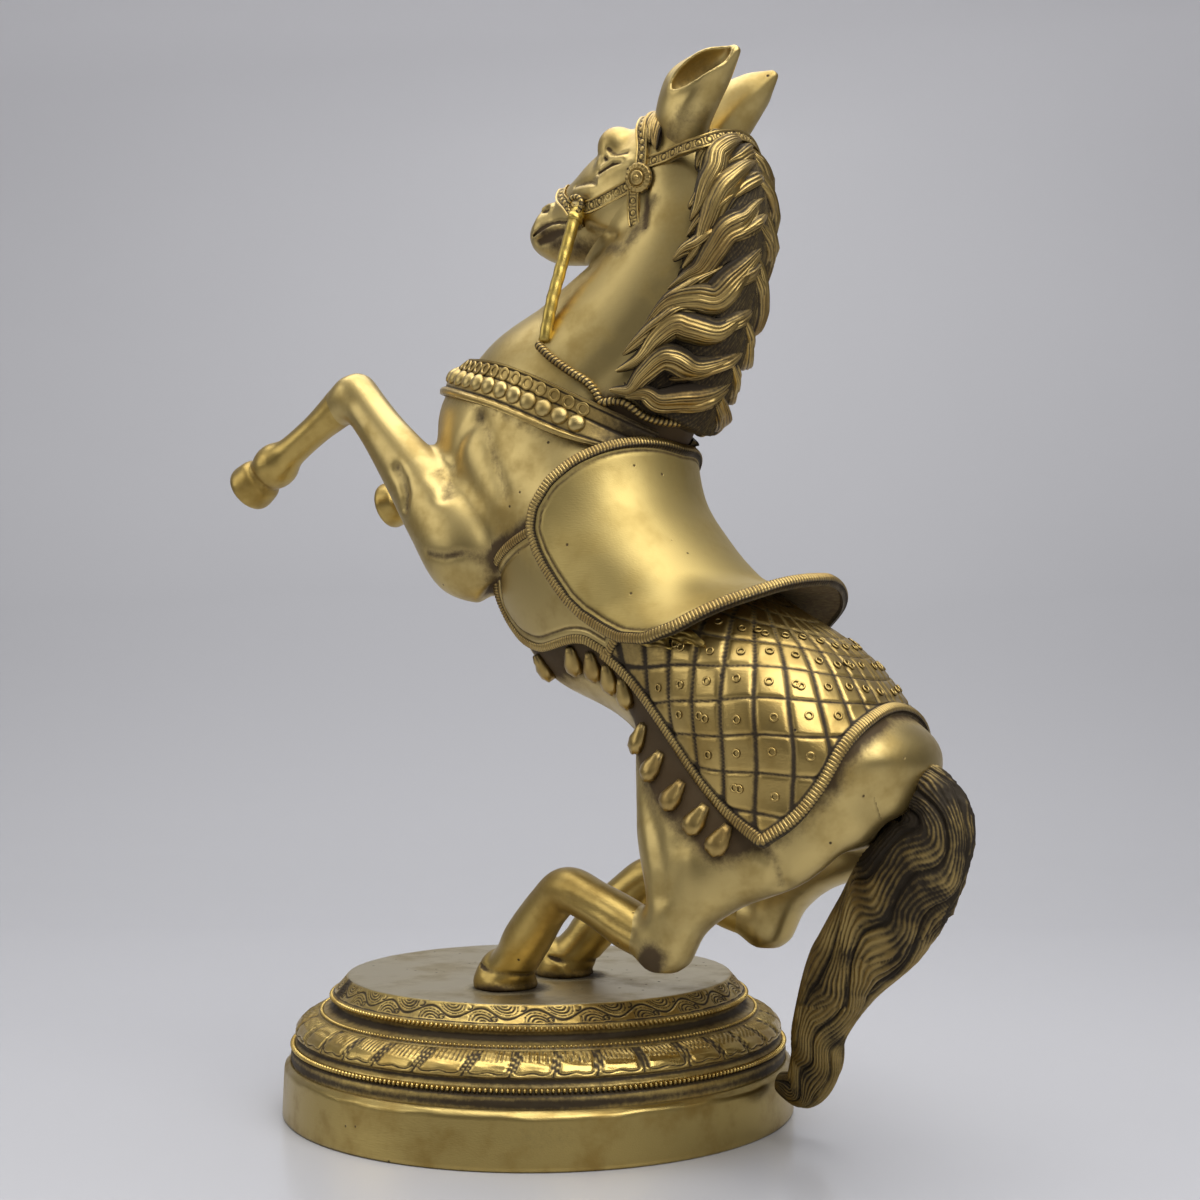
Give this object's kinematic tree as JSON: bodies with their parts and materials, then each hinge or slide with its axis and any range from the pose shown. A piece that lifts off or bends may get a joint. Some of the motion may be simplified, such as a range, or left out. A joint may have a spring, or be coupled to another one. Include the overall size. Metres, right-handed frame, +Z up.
{
  "type": "horse statue",
  "caption": "Cast brass statue of a rearing horse in parade harness, its hind hooves screwed to a round stepped plinth; stands free as an ornament.",
  "frame": {"origin": "centre of the plinth's underside, on the floor", "axes": "+Z up, the horse faces -X, its left side is towards -Y"},
  "size_m": [0.2398, 0.152, 0.2978],
  "materials": {
    "polished_brass": "polished, with brown residue in the creases",
    "satin_brass": "satin, finely scratched",
    "patinated_brass": "chased or rough cast, dark brown residue in the grooves, rubbed bright on the ridges",
    "screw_steel": "turned, dull"
  },
  "bodies": {
    "root": {"foot_band": "satin_brass", "plinth_dome": "patinated_brass", "hoof_screws": "screw_steel", "screw_washers": "screw_steel", "torso": "polished_brass", "neck": "polished_brass", "head": "polished_brass", "left_ear": "polished_brass", "right_ear": "polished_brass", "mane": "patinated_brass", "left_fore_arm": "polished_brass", "left_fore_shank": "satin_brass", "right_fore_arm": "polished_brass", "right_fore_shank": "satin_brass", "left_hind_thigh": "polished_brass", "left_hind_shank": "satin_brass", "right_hind_thigh": "polished_brass", "right_hind_shank": "satin_brass", "tail": "patinated_brass", "saddle": "polished_brass", "saddle_cloth": "patinated_brass", "left_girth_flap": "patinated_brass", "right_girth_flap": "patinated_brass", "drop_bells": "patinated_brass", "breast_collar": "patinated_brass", "collar_domes": "polished_brass", "bridle": "patinated_brass", "cheek_rosettes": "polished_brass", "left_rein": "satin_brass", "right_rein": "satin_brass", "rope_rein": "patinated_brass"}
  },
  "joints": []
}
